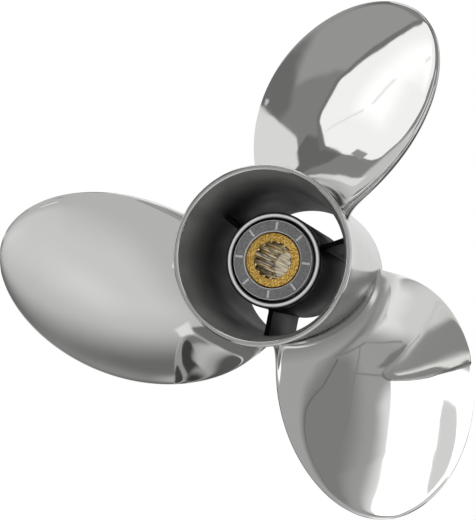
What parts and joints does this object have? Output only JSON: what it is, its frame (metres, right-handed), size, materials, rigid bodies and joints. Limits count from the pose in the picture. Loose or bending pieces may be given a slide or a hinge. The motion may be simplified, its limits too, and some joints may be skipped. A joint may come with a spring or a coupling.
{
  "type": "outboard boat propeller",
  "caption": "Polished left-hand boat propeller: broad cupped blades on an exhaust barrel, ribs to an inner hub, and a splined brass sleeve held in a rubber bush.",
  "frame": {"origin": "on the shaft axis at the height of the centre of mass", "axes": "+Z along the shaft axis, towards the aft end; the front rim rests on a level floor"},
  "size_m": [0.3228, 0.3463, 0.158],
  "materials": {
    "polished_steel": "polished",
    "cast_steel": "as cast",
    "black_rubber": "matt",
    "grey_moulding": "satin",
    "brass": "machined"
  },
  "bodies": {
    "root": {"barrel": "polished_steel", "inner_hub": "cast_steel", "rib_1": "cast_steel", "rib_2": "cast_steel", "rib_3": "cast_steel", "blade_1": "polished_steel", "blade_2": "polished_steel", "blade_3": "polished_steel", "rubber_bush": "black_rubber", "bush_cap": "grey_moulding", "spline_sleeve": "brass"}
  },
  "joints": []
}
